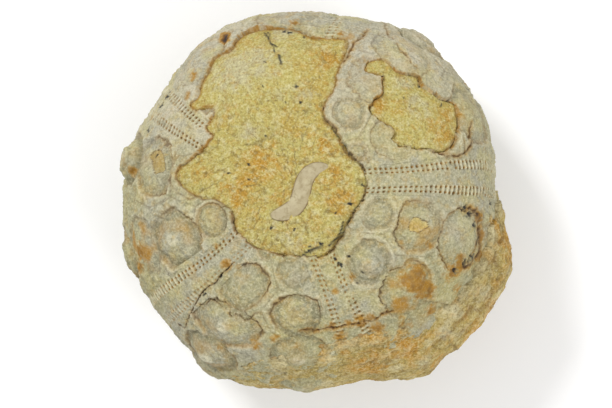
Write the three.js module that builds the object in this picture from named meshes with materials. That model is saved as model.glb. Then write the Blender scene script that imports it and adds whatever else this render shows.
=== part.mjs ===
// Fossil sea urchin (a cidaroid): one natural stone, made of a globular calcite test that is filled
// with limestone and partly crusted over with it. Millimetres, +Z up, resting on its worn underside.
//
// The test is a flattened ball turned about its own pole axis. Every point of its surface is named by
// an angle round that axis and an arc, which is the distance along the meridian from the upper pole.
// The surface is that ball plus a relief along its normal: five sunken ambulacra (pore bands), five
// interambulacra with two alternating columns of spine bosses each, broken windows where the test is
// gone and the limestone filling shows, and a thick limestone crust on one flank.
import * as THREE from 'three';

// ---- Driving dimensions, in mm and degrees ----
const TEST_RADIUS = 34;          // half width of the test at its ambitus (equator)
const TEST_HALF_HEIGHT = 22.5;   // half height of the test along its pole axis
const PROFILE_POWER = 2.25;      // superellipse power of the meridian: 2 is an ellipse, more is flatter
// Burial pressed the test out of round: how much wider it is than its radius, at angles round its axis.
const OUT_OF_ROUND = [
  [0, 0.2], [30, 1.2], [55, 1.5], [85, 0.2], [113, 0.7], [145, -1.1], [185, -1.1], [222, -0.4], [245, 0.5],
  [265, -0.6], [285, -1.2], [310, -0.3], [360, 0.2],
];
const POLE_LEAN = 11;            // the pole axis leans this far from vertical
const POLE_LEAN_TOWARDS = 127;   // compass direction of the lean, counter-clockwise from +X
const BASE_BELOW_CENTRE = 20.4;  // the worn flat underside lies this far below the test's centre

// Ambulacra: axis angle at the ambitus, and how far the band sways from it towards the upper pole.
const AMBULACRA = [
  { axis: 5.2, sway: -4.2 },
  { axis: 74, sway: 2 },
  { axis: 145.7, sway: 10 },
  { axis: 218, sway: 11.5 },
  { axis: 291, sway: 1.3 },
];
const BAND_HALF_WIDTH_POLE = 1.9;   // half width of an ambulacrum at the poles
const BAND_HALF_WIDTH_GAIN = 2.2;   // and what it gains by the ambitus
const BAND_WIDEST_ANGLE = 15;       // the band never takes more than this on each side, near the poles
const BAND_SUNK = 0.3;              // an ambulacrum lies this much below its neighbours

// Spine bosses: arcs of the rows in one column. The other column sits half a row further on.
const ROW_ARCS = [12.8, 19.8, 28.5, 37.9, 47.5, 56.8, 65.2, 72.4, 78.2];
const COLUMN_AT = 0.5;              // column place, as a share of the interambulacrum's half width
const LARGEST_AREOLE = 5.1;         // radius of the smooth disc round a boss at the ambitus
const BOSS_HEIGHT_SHARE = 0.3;      // boss height as a share of its areole's radius
const AREOLE_DEPTH_SHARE = 0.07;

// Broken windows in the test. The large one holds the upper pole: its edge is an arc at each angle.
const TEST_THICKNESS = 1.3;
const BIG_WINDOW_EDGE = [
  [0, 13], [30, 11.5], [50, 12.2], [65, 13.2], [69, 18], [73, 29], [85, 29.5], [95, 32], [105, 32.6],
  [117, 30.5], [128, 29], [138, 27], [143, 20], [152, 18.2], [162, 19.2], [171, 22.2], [180, 20.7],
  [188, 17], [195, 13], [220, 13], [245, 12.9], [282, 13.5], [300, 14], [312, 13], [335, 12.3],
];
const SMALL_WINDOW = { angle: 34, arc: 27.3, alongArc: 6.2, across: 7.4 };

// Limestone crust on the outside: its thickness at each angle, and the arcs between which it thickens
// from nothing and thins out again.
const CRUST_THICKNESS = [
  [288, 0], [294, 2.2], [300, 3.4], [306, 4], [312, 3.4], [318, 3.6], [324, 3.9], [330, 4.2], [336, 4.7],
  [342, 4.7], [348, 3.3], [354, 1.3], [360, 0],
];
const CRUST_STARTS = [38, 49];
const CRUST_ENDS = [62, 80];
const CRUST_COVERS = 1.5;           // where the crust is this thick, nothing shows of the test's relief

// ---- Mesh steps ----
const BAND_STEPS = 3;               // columns of faces across one ambulacrum
const FIELD_STEPS = 12;             // and across one interambulacrum
const RINGS_PER_HALF_ROW = 3;
const MERIDIAN_STEPS = 2000;

const radians = THREE.MathUtils.degToRad;
const degrees = THREE.MathUtils.radToDeg;
const { clamp, lerp, smoothstep } = THREE.MathUtils;

// Straight-line interpolation in a list of [x, y] pairs sorted by x.
function lookUp(pairs, x) {
  const last = pairs.length - 1;
  if (x <= pairs[0][0]) return pairs[0][1];
  if (x >= pairs[last][0]) return pairs[last][1];
  const i = pairs.findIndex(([key]) => key > x);
  const [x0, y0] = pairs[i - 1];
  const [x1, y1] = pairs[i];
  return lerp(y0, y1, (x - x0) / (x1 - x0));
}

// An angle in degrees brought into one turn, and the way from one angle to another in radians.
const wholeTurn = (angle) => ((angle % 360) + 360) % 360;
const angleBetween = (angle, from) => radians(wholeTurn(angle - from + 180) - 180);

// The meridian as points { arc, radius, height }, from the upper pole to the lower one.
function meridianTable() {
  const points = [];
  const power = 2 / PROFILE_POWER;
  let arc = 0;
  for (let i = 0; i <= MERIDIAN_STEPS; i++) {
    const turn = (Math.PI * i) / MERIDIAN_STEPS;
    const radius = TEST_RADIUS * Math.pow(Math.max(Math.sin(turn), 0), power);
    const height = TEST_HALF_HEIGHT * Math.sign(Math.cos(turn)) * Math.pow(Math.abs(Math.cos(turn)), power);
    const before = points[points.length - 1];
    if (before) arc += Math.hypot(radius - before.radius, height - before.height);
    points.push({ arc, radius, height });
  }
  return points;
}

const MERIDIAN = meridianTable();
const WHOLE_ARC = MERIDIAN[MERIDIAN.length - 1].arc;

// Radius, height and outward normal of the meridian at an arc.
function meridianAt(arc) {
  let low = 0;
  let high = MERIDIAN.length - 1;
  while (high - low > 1) {
    const middle = (low + high) >> 1;
    if (MERIDIAN[middle].arc > arc) high = middle;
    else low = middle;
  }
  const a = MERIDIAN[low];
  const b = MERIDIAN[high];
  const share = clamp((arc - a.arc) / (b.arc - a.arc), 0, 1);
  const length = Math.hypot(b.radius - a.radius, b.height - a.height);
  return {
    radius: lerp(a.radius, b.radius, share),
    height: lerp(a.height, b.height, share),
    normalOut: -(b.height - a.height) / length,
    normalUp: (b.radius - a.radius) / length,
  };
}

// ---- Anatomy ----
// Angle of an ambulacrum's middle at an arc: the sway dies out from the pole to the ambitus.
function bandAxis(index, arc) {
  const turns = Math.floor(index / AMBULACRA.length);
  const { axis, sway } = AMBULACRA[index % AMBULACRA.length];
  const towardsPole = arc < WHOLE_ARC / 2 ? Math.cos((Math.PI * arc) / WHOLE_ARC) ** 2 : 0;
  return axis + 360 * turns + sway * towardsPole;
}

// Half width of an ambulacrum in degrees at an arc.
function bandHalfAngle(arc) {
  const width = BAND_HALF_WIDTH_POLE + BAND_HALF_WIDTH_GAIN * Math.sin((Math.PI * arc) / WHOLE_ARC) ** 1.5;
  const { radius } = meridianAt(arc);
  return Math.min(degrees(width / Math.max(radius, 0.01)), BAND_WIDEST_ANGLE);
}

// Arc of a row, for whole and half row numbers.
function rowArc(row) {
  return lookUp(ROW_ARCS.map((arc, i) => [i, arc]), row);
}

function areoleRadius(arc) {
  const fromNearerPole = Math.min(arc, WHOLE_ARC - arc) - 9;
  return LARGEST_AREOLE * (1 - Math.exp(-Math.pow(Math.max(fromNearerPole, 0) / 8.5, 1.3)));
}

// Boss cone in the middle of its areole, by its distance from the middle in areole radii.
function bossRelief(distance, radius) {
  const cone = BOSS_HEIGHT_SHARE * Math.max(0, 1 - distance / 0.8);
  const areole = distance < 1 ? AREOLE_DEPTH_SHARE : 0;
  return radius * (cone - areole);
}

// Relief of one interambulacrum. across runs from -1 to 1 between its two pore bands.
function fieldRelief(across, arc, halfWidth) {
  let relief = 0.35 * (1 - across * across);
  for (const side of [-1, 1]) {
    const firstRow = side < 0 ? 0 : 0.5;
    for (let row = firstRow; row < ROW_ARCS.length - 1; row++) {
      const centreArc = rowArc(row);
      const radius = areoleRadius(centreArc);
      const dx = (across - side * COLUMN_AT) * halfWidth;
      const distance = Math.hypot(dx, arc - centreArc) / Math.max(radius, 0.5);
      if (distance < 1.001) relief += bossRelief(distance, radius);
    }
  }
  return relief;
}

// How far a point lies outside the windows' edges, in mm: negative inside one.
function outsideWindows(angle, arc) {
  const edge = lookUp([...BIG_WINDOW_EDGE, [360, BIG_WINDOW_EDGE[0][1]]], wholeTurn(angle));
  const across = angleBetween(angle, SMALL_WINDOW.angle) * meridianAt(SMALL_WINDOW.arc).radius;
  const small = Math.hypot((arc - SMALL_WINDOW.arc) / SMALL_WINDOW.alongArc, across / SMALL_WINDOW.across);
  return Math.min(arc - edge, (small - 1) * SMALL_WINDOW.alongArc);
}

// Thickness of the outside crust.
function crustThickness(angle, arc) {
  const along = smoothstep(arc, ...CRUST_STARTS) * (1 - smoothstep(arc, ...CRUST_ENDS));
  return along * lookUp(CRUST_THICKNESS, wholeTurn(angle));
}

// Height of the whole surface over the ball. The crust evens out the bosses and bands under it.
function reliefAt({ angle, arc, across, inBand, halfWidth }) {
  const openEnd = smoothstep(Math.min(arc, WHOLE_ARC - arc), 10, 13);
  const test = inBand ? -BAND_SUNK : fieldRelief(across, arc, halfWidth);
  const standing = smoothstep(outsideWindows(angle, arc), -0.8, 0.4) * openEnd;
  const pressed = lookUp(OUT_OF_ROUND, wholeTurn(angle)) * Math.sin((Math.PI * arc) / WHOLE_ARC) ** 2;
  const crust = crustThickness(angle, arc);
  const bared = 1 - smoothstep(crust, 0, CRUST_COVERS);
  return pressed + crust + bared * lerp(-TEST_THICKNESS, test, standing);
}

// ---- The mesh ----
// Columns of the mesh: they follow the anatomy, so each is named by band or field and a place across it.
function meshColumns() {
  const columns = [];
  for (let index = 0; index < AMBULACRA.length; index++) {
    for (let i = 0; i < BAND_STEPS; i++) columns.push({ index, inBand: true, across: -1 + (2 * i) / BAND_STEPS });
    for (let i = 0; i < FIELD_STEPS; i++) columns.push({ index, inBand: false, across: -1 + (2 * i) / FIELD_STEPS });
  }
  return columns;
}

// Angle of a column at an arc, with the half width in mm of the field that it crosses.
function columnAt({ index, inBand, across }, arc) {
  const half = bandHalfAngle(arc);
  const axis = bandAxis(index, arc);
  if (inBand) return { angle: axis + across * half, halfWidth: 0 };
  const next = bandAxis(index + 1, arc);
  const halfSpan = (next - axis) / 2 - half;
  return {
    angle: (axis + next) / 2 + across * halfSpan,
    halfWidth: radians(halfSpan) * meridianAt(arc).radius,
  };
}

// Arcs of the mesh's rings: even steps between rows, carried on to both poles.
function ringArcs() {
  const arcs = [3, 6.5, 10];
  const steps = 2 * RINGS_PER_HALF_ROW;
  const lastStep = (ROW_ARCS.length - 1) * steps;
  for (let i = 0; i <= lastStep; i++) arcs.push(rowArc(i / steps));
  return [...arcs, WHOLE_ARC - 10, WHOLE_ARC - 6.5, WHOLE_ARC - 3];
}

// The pole axis's lean, as a rotation that takes +Z to it.
function poleLean() {
  const lean = radians(POLE_LEAN);
  const towards = radians(POLE_LEAN_TOWARDS);
  const pole = new THREE.Vector3(
    Math.sin(lean) * Math.cos(towards),
    Math.sin(lean) * Math.sin(towards),
    Math.cos(lean),
  );
  return new THREE.Quaternion().setFromUnitVectors(new THREE.Vector3(0, 0, 1), pole);
}

// One point of the surface, leaned over and worn flat where it would pass below the base plane.
function surfacePoint(angle, arc, relief, lean) {
  const { radius, height, normalOut, normalUp } = meridianAt(arc);
  const out = radius + normalOut * relief;
  const point = new THREE.Vector3(
    out * Math.cos(radians(angle)),
    out * Math.sin(radians(angle)),
    height + normalUp * relief,
  ).applyQuaternion(lean);
  point.z = Math.max(point.z, -BASE_BELOW_CENTRE);
  return point;
}

function urchinGeometry() {
  const lean = poleLean();
  const columns = meshColumns();
  const rings = ringArcs();
  const points = [surfacePoint(0, 0, -TEST_THICKNESS, lean)];
  for (const arc of rings) {
    for (const column of columns) {
      const { angle, halfWidth } = columnAt(column, arc);
      const relief = reliefAt({ ...column, angle, arc, halfWidth });
      points.push(surfacePoint(angle, arc, relief, lean));
    }
  }
  points.push(surfacePoint(0, WHOLE_ARC, -TEST_THICKNESS, lean));

  const faces = [];
  const count = columns.length;
  const vertex = (ring, column) => 1 + ring * count + (column % count);
  for (let i = 0; i < count; i++) {
    faces.push(0, vertex(0, i), vertex(0, i + 1));
    for (let ring = 0; ring < rings.length - 1; ring++) {
      faces.push(vertex(ring, i), vertex(ring + 1, i), vertex(ring + 1, i + 1));
      faces.push(vertex(ring, i), vertex(ring + 1, i + 1), vertex(ring, i + 1));
    }
    faces.push(points.length - 1, vertex(rings.length - 1, i + 1), vertex(rings.length - 1, i));
  }

  const geometry = new THREE.BufferGeometry().setFromPoints(points);
  geometry.setIndex(faces);
  geometry.computeBoundingBox();
  // Origin: middle of the bounding box across, and its lowest face in height.
  const centre = geometry.boundingBox.getCenter(new THREE.Vector3());
  geometry.translate(-centre.x, -centre.y, BASE_BELOW_CENTRE);
  geometry.computeVertexNormals();
  return geometry;
}

const stone = new THREE.MeshStandardMaterial({ color: 0xb8ae91, roughness: 0.9, metalness: 0 });
const urchin = new THREE.Mesh(urchinGeometry(), stone);
urchin.name = 'fossil_urchin';

const part = new THREE.Group();
part.name = 'fossil_sea_urchin';
part.add(urchin);

export default part;
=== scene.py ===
"""A fossil sea urchin: a cidaroid's calcite test, filled and crusted with yellow limestone.

Lengths are in millimetres up to the point where a mesh is made. The urchin's own chart names each place
on it by an angle, in degrees round the test's axis, and an arc, the way along the meridian from the upper
pole. Each surface is the smooth ball of the test plus a relief along its normal.
"""

import math

import bpy
import numpy as np
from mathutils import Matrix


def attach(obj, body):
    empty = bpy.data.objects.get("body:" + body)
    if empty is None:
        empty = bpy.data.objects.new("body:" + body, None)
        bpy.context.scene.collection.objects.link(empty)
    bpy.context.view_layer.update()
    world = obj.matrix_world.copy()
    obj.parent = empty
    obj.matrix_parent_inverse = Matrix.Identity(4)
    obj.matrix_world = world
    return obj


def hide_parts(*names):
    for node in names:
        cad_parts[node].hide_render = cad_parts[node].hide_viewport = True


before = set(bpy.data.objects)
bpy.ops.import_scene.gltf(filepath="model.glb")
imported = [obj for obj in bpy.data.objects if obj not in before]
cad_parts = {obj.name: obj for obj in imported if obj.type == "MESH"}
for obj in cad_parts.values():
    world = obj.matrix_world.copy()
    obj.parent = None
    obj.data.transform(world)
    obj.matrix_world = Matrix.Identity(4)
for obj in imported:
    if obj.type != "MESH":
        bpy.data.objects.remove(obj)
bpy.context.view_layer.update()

METRES = 0.001                      # one millimetre

# ---- The test's shape ----
TEST_RADIUS = 34.0                  # half width at the ambitus, its widest line
TEST_HALF_HEIGHT = 22.5
PROFILE_POWER = 2.25                # superellipse power of the meridian
TEST_CENTRE = (-1.74, -0.26, 20.4)  # in the CAD's frame
POLE_LEAN = 11.0                    # degrees from vertical
POLE_LEAN_TOWARDS = 127.0           # degrees round from +X
OUT_OF_ROUND = {
    0: 0.2, 30: 1.2, 55: 1.5, 85: 0.2, 113: 0.7, 145: -1.1, 185: -1.1, 222: -0.4, 245: 0.5, 265: -0.6,
    285: -1.2, 310: -0.3,
}                                   # mm outwards at each angle round the ambitus
UPPER_OPENING, LOWER_OPENING = 11, 80       # arcs between which the test's plates reach

# Each ambulacrum's angle at the ambitus, and its sway from there to the upper pole.
AMBULACRA = [(5.2, -4.2), (74.0, 2.0), (145.7, 10.0), (218.0, 11.5), (291.0, 1.3)]
BAND_HALF_WIDTH_POLE = 1.9
BAND_HALF_WIDTH_GAIN = 2.2
PLATE_PITCH = 0.97                  # one pore pair to each ambulacral plate

# Spine bosses: arcs of one column's rows. The other column sits half a row further down.
ROW_ARCS = [12.8, 19.8, 28.5, 37.9, 47.5, 56.8, 65.2, 72.4, 78.2]
COLUMN_AT = 0.52                    # as a share of the interambulacrum's half width
LARGEST_AREOLE = 5.1


# ---- Noise: repeatable randomness as functions of place ----
RANDOM = np.random.default_rng(11)
SHUFFLED = RANDOM.permutation(256)
GRADIENTS = RANDOM.normal(size=(256, 3)).astype(np.float32)
GRADIENTS /= np.linalg.norm(GRADIENTS, axis=1, keepdims=True)
JITTER = RANDOM.random((256, 3)).astype(np.float32)
NOISE_GAIN = 1.7                    # brings gradient noise up to about -1 to 1
NOISE_SEED_STEP = 19.37             # how far apart, in lattice steps, two seeds read the same noise
CELL_SEED_STEP = 7.13
FAR = 9.0                           # stands for any way too long to matter
FARTHEST = 99.0                     # longer than any way on the chart


def hashed(cells):
    """One of 256 numbers for each whole-numbered cell: the shuffle table read once for each coordinate."""
    slot = SHUFFLED[cells[..., 0] & 255]
    for axis in range(1, cells.shape[-1]):
        slot = SHUFFLED[(slot + cells[..., axis]) & 255]
    return slot


def noise(points, size, seed=0):
    """Gradient noise from about -1 to 1: the lattice corners' random slopes, blended by the quintic fade."""
    scaled = np.asarray(points, np.float32) / size + seed * NOISE_SEED_STEP
    cell = np.floor(scaled).astype(np.int64)
    part = scaled - cell
    fade = part ** 3 * (part * (part * 6 - 15) + 10)
    total = 0.0
    for corner in np.ndindex(2, 2, 2):
        slope = ((part - corner) * GRADIENTS[hashed(cell + corner)]).sum(-1)
        total = total + slope * np.where(corner, fade, 1 - fade).prod(-1)
    return total * NOISE_GAIN


def fractal(points, size, octaves=3, seed=0):
    """Octaves of noise, each half as large and half as strong as the one before."""
    return sum(noise(points, size / 2 ** i, seed + i) / 2 ** i for i in range(octaves))


def cells(across, along, size, seed=0):
    """Way to the nearest and the second nearest of jittered points on a square lattice, in cell sizes,
    with the nearest one's own random number."""
    spot = np.stack([across, along], -1) / size + seed * CELL_SEED_STEP
    base = np.floor(spot).astype(np.int64)
    nearest = np.full(spot.shape[:-1], FAR)
    second = nearest.copy()
    owner = np.zeros(spot.shape[:-1], np.float32)
    for step in np.ndindex(3, 3):
        cell = base + step - 1
        slot = hashed(cell)
        away = np.hypot(*np.moveaxis(cell + JITTER[slot, :2] - spot, -1, 0))
        second = np.minimum(second, np.maximum(nearest, away))
        owner = np.where(away < nearest, JITTER[slot, 2], owner)
        nearest = np.minimum(nearest, away)
    return nearest, second, owner


def ramp(value, low, high):
    """0 below low, 1 above high, and a smooth S between them."""
    part = np.clip((value - low) / (high - low), 0, 1)
    return part * part * (3 - 2 * part)


def fall(value, low, high):
    """1 below low, 0 above high, and a smooth S between them."""
    return ramp(-value, -high, -low)


def hill(distance, width):
    """A bell: 1 at no distance, fading over the width."""
    return np.exp(-(distance / width) ** 2)


# ---- The ball and its chart ----
def meridian():
    """The superellipse from pole to pole: arc, radius and height, and the normal's two parts."""
    turn = np.linspace(0, math.pi, 4001)
    power = 2 / PROFILE_POWER
    radius = TEST_RADIUS * np.sin(turn).clip(0) ** power
    height = TEST_HALF_HEIGHT * np.sign(np.cos(turn)) * np.abs(np.cos(turn)) ** power
    arc = np.concatenate([[0], np.cumsum(np.hypot(np.diff(radius), np.diff(height)))])
    return arc, radius, height, -np.gradient(height, arc), np.gradient(radius, arc)


ARCS, RADII, HEIGHTS, NORMALS_OUT, NORMALS_UP = meridian()
WHOLE_ARC = ARCS[-1]


def radius_at(arc):
    return np.interp(arc, ARCS, RADII)


def lean_matrix():
    """Rotation that takes +Z to the leaning pole axis the short way round."""
    lean, towards = math.radians(POLE_LEAN), math.radians(POLE_LEAN_TOWARDS)
    x, y, z = math.sin(lean) * math.cos(towards), math.sin(lean) * math.sin(towards), math.cos(lean)
    cross = np.array([[0, 0, x], [0, 0, y], [-x, -y, 0]])
    return np.eye(3) + cross + cross @ cross / (1 + z)


LEAN = lean_matrix()


def on_ball(angle, arc, relief):
    """Place of a chart point: out along the radius and up the axis, plus the relief times the normal, then
    leaned over and set down on the test's centre."""
    turn = np.radians(angle)
    out = radius_at(arc) + relief * np.interp(arc, ARCS, NORMALS_OUT)
    up = np.interp(arc, ARCS, HEIGHTS) + relief * np.interp(arc, ARCS, NORMALS_UP)
    spot = np.stack([out * np.cos(turn), out * np.sin(turn), up + 0 * turn], -1)
    return spot @ LEAN.T + TEST_CENTRE


def facing(angle, towards, low, high):
    """How far a place is turned towards an angle: the cosine between the two, spread from low to high."""
    return ramp(np.cos(np.radians(angle - towards)), low, high)


def pressed(angle, arc):
    """Burial pressed the test out of round: a periodic curve through OUT_OF_ROUND, fading at the poles."""
    keys = np.array([*OUT_OF_ROUND, 360.0])
    values = np.array([*OUT_OF_ROUND.values(), OUT_OF_ROUND[0]])
    turned = np.mod(angle, 360)
    nth = np.clip(np.searchsorted(keys, turned, side="right") - 1, 0, len(keys) - 2)
    share = ramp(turned, keys[nth], keys[nth + 1])
    return (values[nth] + (values[nth + 1] - values[nth]) * share) * np.sin(math.pi * arc / WHOLE_ARC) ** 2


def flat_chart(angle, arc):
    """The chart laid flat: arc as the way out from the pole, so that outlines are drawn true near it."""
    turn = np.radians(angle)
    return np.stack([arc * np.cos(turn), arc * np.sin(turn)], -1)


def warped_cells(spot, spots, amount, warp_size, warp_seed, size, seed):
    """Cells of the flat chart with bent edges: both coordinates are moved by the same noise."""
    bent = spot + amount * noise(spots, warp_size, warp_seed)[..., None]
    return cells(*np.moveaxis(bent, -1, 0), size, seed)


# ---- Outlines and lines drawn on the chart ----
def smooth_path(points, closed, steps=4):
    """Catmull-Rom curve through points of the chart, on the flat chart."""
    spots = flat_chart(*np.array(points, float).T)
    if closed:
        spots = np.concatenate([spots[-1:], spots, spots[:2]])
    else:
        spots = np.concatenate([2 * spots[:1] - spots[1:2], spots, 2 * spots[-1:] - spots[-2:-1]])
    before, start, end, after = spots[:-3, None], spots[1:-2, None], spots[2:-1, None], spots[3:, None]
    t = np.linspace(0, 1, steps, endpoint=False)[None, :, None]
    curve = start + 0.5 * t * (end - before + t * (2 * before - 5 * start + 4 * end - after
                                                   + t * (3 * (start - end) + after - before)))
    curve = curve.reshape(-1, 2)
    return curve if closed else np.concatenate([curve, spots[-2:-1]])


def way_to_path(spot, path):
    """Distance from each spot to the nearest of a path's straight pieces."""
    nearest = np.full(spot.shape[:-1], FARTHEST)
    for start, end in zip(path[:-1], path[1:]):
        piece = end - start
        share = np.clip(((spot - start) @ piece) / max(piece @ piece, 1e-9), 0, 1)
        nearest = np.minimum(nearest, np.linalg.norm(spot - start - share[..., None] * piece, axis=-1))
    return nearest


def way_outside(spot, outline):
    """Signed distance to a closed outline, negative inside: even-odd count of the edges to the right."""
    edge = np.concatenate([outline, outline[:1]])
    inside = np.zeros(spot.shape[:-1], bool)
    for (x0, y0), (x1, y1) in zip(edge[:-1], edge[1:]):
        crosses = (y0 > spot[..., 1]) != (y1 > spot[..., 1])
        at = x0 + (spot[..., 1] - y0) * (x1 - x0) / (y1 - y0 if y1 != y0 else 1e-9)
        inside ^= crosses & (spot[..., 0] < at)
    return np.where(inside, -1, 1) * way_to_path(spot, edge)


def way_where(near, spot, measure, line):
    """A way measured only where near holds, and far elsewhere, which saves time."""
    way = np.full(near.shape, FAR)
    way[near] = measure(spot[near], line)
    return way


# Windows where the test is broken away, as (angle, arc).
BIG_WINDOW = [
    (112, 32), (109, 33), (102, 33), (93, 32), (86, 29.5), (78, 30), (72, 29.5), (70, 22), (68, 19),
    (70, 16), (66, 13), (50, 12), (30, 11), (10, 13), (350, 13), (332, 12), (312, 13), (297, 14),
    (282, 13.5), (264, 13), (246, 13), (232, 13), (218, 13), (204, 12), (192, 14), (188, 17),
    (181, 20.5), (173, 22.5), (166, 20.5), (160, 18.5), (153, 18), (148, 18), (145.5, 20), (140, 20),
    (136, 21), (136, 22), (139, 23.5), (142, 24.5), (141, 26), (136.5, 26), (132, 27.5), (127, 28.5),
    (122, 30.5), (116, 30),
]
SMALL_WINDOW = [
    (59, 24.5), (60, 27), (58, 28.5), (55, 29), (50.5, 28.5), (48, 29), (43, 31), (41.5, 30), (37, 31),
    (32.5, 32), (29.5, 34.5), (23, 33), (18.5, 31.5), (15.5, 30), (14.5, 28), (16, 26.5), (17, 25),
    (17.5, 23), (20, 21), (24, 19.5), (28, 20.5), (33.5, 20), (39.5, 19), (45, 19.5), (46.5, 21),
    (46, 23), (50, 25), (53, 26),
]
# Bosses that snapped off and show what is under them.
BROWN_CHIP = [
    (165, 29), (163, 27.5), (165, 26.5), (167.5, 25.5), (171.5, 25), (172.5, 25.5), (173.5, 27),
    (170.5, 28), (168.5, 28.5), (166.5, 29.5),
]
YELLOW_CHIP = [
    (345, 22.5), (344.5, 25), (343, 25.5), (341.5, 25), (339, 24), (338, 22.5), (340.5, 22), (343.5, 22),
]
BIG_PATH, SMALL_PATH = (smooth_path(outline, True) for outline in (BIG_WINDOW, SMALL_WINDOW))
BROWN_PATH, YELLOW_PATH = (flat_chart(*np.array(outline).T) for outline in (BROWN_CHIP, YELLOW_CHIP))

# Cracks in the test, as (angle, arc) points with a width in mm and a strength of each stain.
CRACKS = [
    dict(width=0.1, dark=0.9, rust=0.6, points=[(232, 18), (231.5, 19.5), (230.5, 21), (230.5, 23),
        (228, 26), (228.5, 30), (229, 34), (229, 36), (226, 37.5)]),
    dict(width=0.1, dark=0.7, rust=0.6, points=[(230, 28.5), (232, 27.5), (233, 26), (238, 26),
        (242, 26), (250.5, 26), (252.5, 24.5), (255, 24)]),
    dict(width=0.17, dark=0.35, rust=1.0, points=[(272, 27), (278, 27.5), (283, 27.5), (288, 28),
        (293, 28.5), (297, 29), (300, 29.5), (305, 29), (308, 30)]),
    dict(width=0.2, dark=0.0, rust=0.8, points=[(68, 35), (68, 32), (69.5, 30), (69, 28), (69, 26.5),
        (69.5, 25)]),
    dict(width=0.15, dark=0.1, rust=0.6, points=[(66, 41.5), (62, 36), (56, 33.5), (50, 32), (46, 32)]),
    dict(width=0.15, dark=0.0, rust=0.4, points=[(128, 27), (122, 29), (116, 33), (112, 36)]),
    dict(width=0.2, dark=0.3, rust=0.8, points=[(22, 36), (14, 34), (12, 30), (14, 26)]),
    dict(width=0.28, dark=0.6, rust=1.0, points=[(354, 33.5), (353, 36), (348, 37.5), (345, 38.5),
        (342, 39.5), (339.5, 39), (337, 38), (335.5, 36.5)]),
]
CRACK_PATHS = [smooth_path(crack["points"], False) for crack in CRACKS]

# Soft ochre stains on the test, as (angle, arc, radius in mm, strength).
OCHRE_STAINS = [
    (200, 34, 3.0, 1.0), (203, 37, 2.4, 0.9), (172, 35, 1.3, 0.8), (169, 36.5, 1.2, 0.7),
    (230, 19, 1.3, 0.9), (218, 18, 0.9, 0.6), (322.5, 28, 3.0, 1.2), (321, 31, 2.8, 1.1),
    (317.5, 30.5, 1.8, 0.7), (332, 34, 2.2, 1.0), (352, 36.5, 1.3, 1.1), (347, 38.5, 1.5, 1.1),
    (341, 40, 1.4, 1.0), (336, 35, 1.8, 1.3), (337, 27, 1.6, 0.7), (331, 22, 1.0, 0.6),
    (45, 44, 2.2, 0.8), (36, 46, 1.6, 0.7), (26, 34.5, 1.6, 0.8), (62, 26, 1.6, 0.6),
    (132, 31, 1.6, 0.7), (139, 28.5, 1.4, 0.6), (291, 21, 1.0, 0.6), (302, 20, 1.2, 0.6),
    (262, 28.5, 1.4, 0.7), (255, 30.5, 1.8, 0.7), (243, 33.5, 2.2, 0.6), (236, 18, 1.0, 0.5),
    (92, 34, 2.0, 0.7), (74, 31.5, 2.0, 0.7), (15, 17.5, 1.0, 0.4), (152, 36, 1.5, 0.5),
    (300, 31, 2.5, 0.7), (309, 33.5, 2.2, 0.7), (318, 35.5, 2.0, 0.7), (328, 38, 2.0, 0.6),
    (286, 30.5, 2.2, 0.7), (270, 30.5, 2.0, 0.5), (296, 28.5, 1.8, 1.1), (300, 28.5, 1.3, 0.9),
    (284, 27, 1.4, 0.9), (291, 28, 1.2, 0.8),
]
# Black manganese specks and small holes, as (angle, arc, radius in mm).
BLACK_SPOTS = [
    (143, 35, 1.2), (147.5, 34.8, 0.8), (157, 33.8, 0.9), (32, 44.6, 1.0), (34, 43.2, 0.6),
    (358, 41.0, 0.7), (299, 15.5, 0.6), (300, 17.0, 0.7), (307, 16.5, 0.5), (166, 27.8, 0.45),
    (229, 26.4, 0.7), (231, 21.5, 0.4), (354, 32.4, 1.1), (352, 34.0, 1.0), (349, 35.6, 0.9),
    (337, 36.4, 1.1), (339.5, 37.8, 1.1), (333, 34.6, 0.7), (303, 21.3, 0.4), (308, 20.3, 0.35),
    (70, 18.5, 0.3),
]
RUST_HOLE = (116, 34.4, 0.85)

WINDOWS_END = 40                    # the arc past which no window's edge lies
CRACKS_FROM, CRACKS_END = 18, 44    # the arcs between which the cracks lie
EDGE_BITES = 0.55                   # how deep the windows' edges are bitten, in mm


def window_way(angle, arc, spots):
    """Signed way to the nearest window's edge, broken into angular bites by cells and roughened by noise."""
    spot = flat_chart(angle, arc)
    near = arc < WINDOWS_END
    away = np.minimum(way_where(near, spot, way_outside, BIG_PATH),
                      way_where(near, spot, way_outside, SMALL_PATH))
    _, _, bite = cells(spot[..., 0], spot[..., 1], 1.7, 3)
    return away + EDGE_BITES * (bite - 0.5) + 0.25 * noise(spots, 2.6, 3) + 0.2 * noise(spots, 0.8, 4)


def crack_marks(angle, arc, spots):
    """Depth, darkness, rust and ochre halo of the cracks: a bell across each jagged, broken line."""
    jag = 0.35 * noise(spots, 1.5, 8) + 0.25 * noise(spots, 0.6, 9)
    spot = flat_chart(angle, arc) + jag[..., None]
    near = (arc > CRACKS_FROM) & (arc < CRACKS_END)
    marks = np.zeros((4, *arc.shape))
    patchy = ramp(noise(spots, 1.2, 10), -0.8, -0.2) * (0.6 + 0.6 * ramp(noise(spots, 0.8, 11), -0.2, 0.4))
    for crack, path in zip(CRACKS, CRACK_PATHS):
        way = way_where(near, spot, way_to_path, path)
        bell = hill(way, crack["width"]) * patchy
        halo = 0.8 * hill(way, 3 * crack["width"]) * crack["rust"] ** 2 * patchy
        marks = np.maximum(marks, [bell, bell * crack["dark"], bell * crack["rust"], halo])
    return marks


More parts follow.
